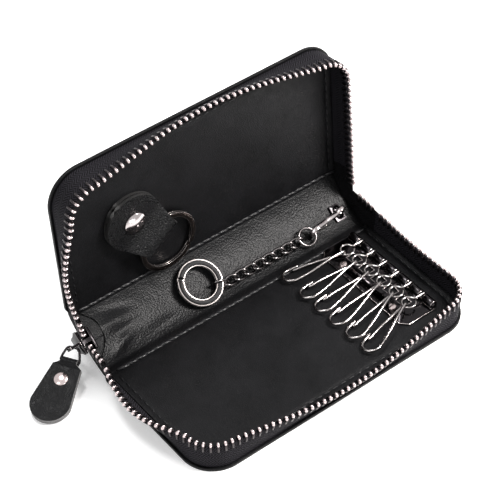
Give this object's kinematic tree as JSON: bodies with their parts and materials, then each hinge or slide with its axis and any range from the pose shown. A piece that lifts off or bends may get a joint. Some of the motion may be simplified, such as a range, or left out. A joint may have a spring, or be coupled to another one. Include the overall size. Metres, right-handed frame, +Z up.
{
  "type": "key case",
  "caption": "Zip-around key case lying open, with a row of hook clips, a strap with a split ring, and a chain with a key ring and clasp.",
  "frame": {"origin": "middle of the lower cover's underside, where it lies on the table", "axes": "+X along the spine to the right, -Y from the spine toward the front edge, +Z up"},
  "size_m": [0.1515, 0.0895, 0.0813],
  "materials": {
    "case_leather": "fine-grained leather, satin",
    "stiffener": "pressed board, hidden between the leather and the lining",
    "lining": "fine-grained lining leather, satin",
    "spine_satin": "crinkled satin-like woven strip",
    "zip_tape": "herringbone woven tape, matte",
    "zip_teeth": "gunmetal plating, polished",
    "hook_plate_metal": "gunmetal plating, polished",
    "hook_metal": "gunmetal plating, polished",
    "ring_metal": "gunmetal plating, polished",
    "chain_metal": "gunmetal plating, polished",
    "strap_leather": "fine-grained leather, satin",
    "snap_metal": "gunmetal plating, polished",
    "slider_metal": "gunmetal plating, polished",
    "pull_leather": "fine-grained leather with raw light-grey edges",
    "pull_rivet_metal": "gunmetal plating, polished"
  },
  "bodies": {
    "lower_half": {"lower_cover": "case_leather", "lower_board": "stiffener", "lower_lining": "lining", "lower_zip_tape": "zip_tape", "lower_zip_teeth": "zip_teeth", "hook_plate": "hook_plate_metal", "hook_rod": "hook_plate_metal", "hook_plate_rivets": "hook_plate_metal"},
    "spine": {"spine_leather": "case_leather", "spine_lining": "spine_satin", "left_zip_end": "zip_tape", "right_zip_end": "zip_tape", "zip_end_teeth": "zip_teeth", "anchor_loop": "chain_metal"},
    "upper_half": {"upper_cover": "case_leather", "upper_board": "stiffener", "upper_lining": "lining", "upper_zip_tape": "zip_tape", "upper_zip_teeth": "zip_teeth", "snap_stud": "snap_metal", "strap_back_leaf": "strap_leather", "strap_fold": "strap_leather"},
    "strap_flap": {"strap_flap": "strap_leather", "snap_cap": "snap_metal"},
    "fob_ring": {"fob_ring": "ring_metal"},
    "slider": {"slider_body": "slider_metal", "slider_bridge": "slider_metal"},
    "pull_link": {"pull_link": "slider_metal"},
    "pull_tab": {"pull_tab": "pull_leather", "pull_rivet": "pull_rivet_metal"},
    "clasp": {"clasp_body": "chain_metal", "clasp_pin": "chain_metal"},
    "clasp_lever": {"clasp_lever": "chain_metal"},
    "jump_ring": {"jump_ring": "ring_metal"},
    "chain_link_1": {"chain_link_1": "chain_metal"},
    "chain_link_2": {"chain_link_2": "chain_metal"},
    "chain_link_3": {"chain_link_3": "chain_metal"},
    "chain_link_4": {"chain_link_4": "chain_metal"},
    "chain_link_5": {"chain_link_5": "chain_metal"},
    "chain_link_6": {"chain_link_6": "chain_metal"},
    "chain_link_7": {"chain_link_7": "chain_metal"},
    "chain_link_8": {"chain_link_8": "chain_metal"},
    "chain_link_9": {"chain_link_9": "chain_metal"},
    "key_ring": {"key_ring": "ring_metal"},
    "hook_link_1": {"hook_link_1": "hook_metal"},
    "hook_clip_1": {"hook_clip_1": "hook_metal"},
    "hook_link_2": {"hook_link_2": "hook_metal"},
    "hook_clip_2": {"hook_clip_2": "hook_metal"},
    "hook_link_3": {"hook_link_3": "hook_metal"},
    "hook_clip_3": {"hook_clip_3": "hook_metal"},
    "hook_link_4": {"hook_link_4": "hook_metal"},
    "hook_clip_4": {"hook_clip_4": "hook_metal"},
    "hook_link_5": {"hook_link_5": "hook_metal"},
    "hook_clip_5": {"hook_clip_5": "hook_metal"},
    "hook_link_6": {"hook_link_6": "hook_metal"},
    "hook_clip_6": {"hook_clip_6": "hook_metal"}
  },
  "joints": [
    {"name": "lower_fold", "type": "hinge", "parent": "lower_half", "child": "spine", "pos_m": [0, 0.03, 0.0014], "axis": [-1, 0, 0], "range_deg": [-54.5, 35.5], "deforming": ["left_zip_end", "right_zip_end", "zip_end_teeth"]},
    {"name": "upper_fold", "type": "hinge", "parent": "spine", "child": "upper_half", "pos_m": [0, 0.04816, 0.01435], "axis": [-1, 0, 0], "range_deg": [-39.9, 50.1], "deforming": ["left_zip_end", "right_zip_end", "zip_end_teeth"]},
    {"name": "snap_flap", "type": "hinge", "parent": "upper_half", "child": "strap_flap", "pos_m": [-0.0226, 0.04299, 0.03324], "axis": [0.7826, 0.0478, 0.6207], "range_deg": [0, 95]},
    {"name": "fob_ring_turn", "type": "hinge", "parent": "upper_half", "child": "fob_ring", "pos_m": [-0.01825, 0.04593, 0.02753], "axis": [0.0347, -0.9988, 0.033], "range_deg": [-180, 180]},
    {"name": "slider_run", "type": "slide", "parent": "spine", "child": "slider", "axis": [0, -0.5807, 0.8141], "range_m": [0, 0.004]},
    {"name": "pull_link_swing", "type": "hinge", "parent": "slider", "child": "pull_link", "pos_m": [-0.06415, 0.03899, 0.00988], "axis": [0.527, -0.8499, 0], "range_deg": [-70, 10]},
    {"name": "pull_tab_swing", "type": "hinge", "parent": "pull_link", "child": "pull_tab", "pos_m": [-0.0679, 0.03666, 0.00644], "axis": [0.527, -0.8499, 0], "range_deg": [-30, 40]},
    {"name": "clasp_lift", "type": "hinge", "parent": "spine", "child": "clasp", "pos_m": [0.05165, 0.03503, 0.0084], "axis": [-0.1564, 0.8041, 0.5736], "range_deg": [0, 20]},
    {"name": "clasp_lever_press", "type": "hinge", "parent": "clasp", "child": "clasp_lever", "pos_m": [0.0428, 0.03415, 0.00689], "axis": [-0.1511, 0.927, 0.3433], "range_deg": [0, 16], "stiffness_Nm_per_rad": 0.002},
    {"name": "jump_ring_lift", "type": "hinge", "parent": "clasp", "child": "jump_ring", "pos_m": [0.03816, 0.03329, 0.00666], "axis": [0, 0.8141, 0.5807], "range_deg": [0, 12]},
    {"name": "chain_lift_9", "type": "hinge", "parent": "jump_ring", "child": "chain_link_9", "pos_m": [0.03157, 0.03382, 0.00592], "axis": [0, 0.8141, 0.5807], "range_deg": [0, 12]},
    {"name": "chain_lift_8", "type": "hinge", "parent": "chain_link_9", "child": "chain_link_8", "pos_m": [0.02777, 0.03382, 0.00592], "axis": [0, 0.8141, 0.5807], "range_deg": [0, 12]},
    {"name": "chain_lift_7", "type": "hinge", "parent": "chain_link_8", "child": "chain_link_7", "pos_m": [0.02347, 0.03382, 0.00592], "axis": [0, 0.8141, 0.5807], "range_deg": [0, 12]},
    {"name": "chain_lift_6", "type": "hinge", "parent": "chain_link_7", "child": "chain_link_6", "pos_m": [0.01917, 0.03382, 0.00592], "axis": [0, 0.8141, 0.5807], "range_deg": [0, 12]},
    {"name": "chain_lift_5", "type": "hinge", "parent": "chain_link_6", "child": "chain_link_5", "pos_m": [0.01487, 0.03382, 0.00592], "axis": [0, 0.8141, 0.5807], "range_deg": [0, 12]},
    {"name": "chain_lift_4", "type": "hinge", "parent": "chain_link_5", "child": "chain_link_4", "pos_m": [0.01057, 0.03382, 0.00592], "axis": [0, 0.8141, 0.5807], "range_deg": [0, 12]},
    {"name": "chain_lift_3", "type": "hinge", "parent": "chain_link_4", "child": "chain_link_3", "pos_m": [0.00627, 0.03382, 0.00592], "axis": [0, 0.8141, 0.5807], "range_deg": [0, 12]},
    {"name": "chain_lift_2", "type": "hinge", "parent": "chain_link_3", "child": "chain_link_2", "pos_m": [0.00197, 0.03382, 0.00592], "axis": [0, 0.8141, 0.5807], "range_deg": [0, 12]},
    {"name": "chain_lift_1", "type": "hinge", "parent": "chain_link_2", "child": "chain_link_1", "pos_m": [-0.00233, 0.03382, 0.00592], "axis": [0.454, 0.7254, 0.5174], "range_deg": [0, 12]},
    {"name": "key_ring_lift", "type": "hinge", "parent": "chain_link_1", "child": "key_ring", "pos_m": [-0.00465, 0.03462, 0.00682], "axis": [0.454, 0.7254, 0.5174], "range_deg": [0, 20]},
    {"name": "hook_link_turn_1", "type": "hinge", "parent": "lower_half", "child": "hook_link_1", "pos_m": [0.049, 0.01973, 0.00475], "axis": [0, 1, 0], "range_deg": [0, 100]},
    {"name": "hook_clip_lift_1", "type": "hinge", "parent": "hook_link_1", "child": "hook_clip_1", "pos_m": [0.03965, 0.01973, 0.00575], "axis": [0.1737, 0.9848, 0], "range_deg": [0, 25]},
    {"name": "hook_link_turn_2", "type": "hinge", "parent": "lower_half", "child": "hook_link_2", "pos_m": [0.049, 0.013, 0.00475], "axis": [0, 1, 0], "range_deg": [0, 100]},
    {"name": "hook_clip_lift_2", "type": "hinge", "parent": "hook_link_2", "child": "hook_clip_2", "pos_m": [0.03965, 0.013, 0.00575], "axis": [0, 1, 0], "range_deg": [0, 25]},
    {"name": "hook_link_turn_3", "type": "hinge", "parent": "lower_half", "child": "hook_link_3", "pos_m": [0.049, 0.00628, 0.00475], "axis": [0, 1, 0], "range_deg": [0, 100]},
    {"name": "hook_clip_lift_3", "type": "hinge", "parent": "hook_link_3", "child": "hook_clip_3", "pos_m": [0.03965, 0.00628, 0.00575], "axis": [-0.0699, 0.9976, 0], "range_deg": [0, 25]},
    {"name": "hook_link_turn_4", "type": "hinge", "parent": "lower_half", "child": "hook_link_4", "pos_m": [0.049, -0.00046, 0.00475], "axis": [0, 1, 0], "range_deg": [0, 100]},
    {"name": "hook_clip_lift_4", "type": "hinge", "parent": "hook_link_4", "child": "hook_clip_4", "pos_m": [0.03965, -0.00046, 0.00575], "axis": [-0.1393, 0.9903, 0], "range_deg": [0, 25]},
    {"name": "hook_link_turn_5", "type": "hinge", "parent": "lower_half", "child": "hook_link_5", "pos_m": [0.049, -0.00719, 0.00475], "axis": [0, 1, 0], "range_deg": [0, 100]},
    {"name": "hook_clip_lift_5", "type": "hinge", "parent": "hook_link_5", "child": "hook_clip_5", "pos_m": [0.03965, -0.00719, 0.00575], "axis": [-0.2251, 0.9743, 0], "range_deg": [0, 25]},
    {"name": "hook_link_turn_6", "type": "hinge", "parent": "lower_half", "child": "hook_link_6", "pos_m": [0.049, -0.01392, 0.00475], "axis": [0, 1, 0], "range_deg": [0, 100]},
    {"name": "hook_clip_lift_6", "type": "hinge", "parent": "hook_link_6", "child": "hook_clip_6", "pos_m": [0.03965, -0.01392, 0.00575], "axis": [-0.2924, 0.9563, 0], "range_deg": [0, 25]}
  ]
}
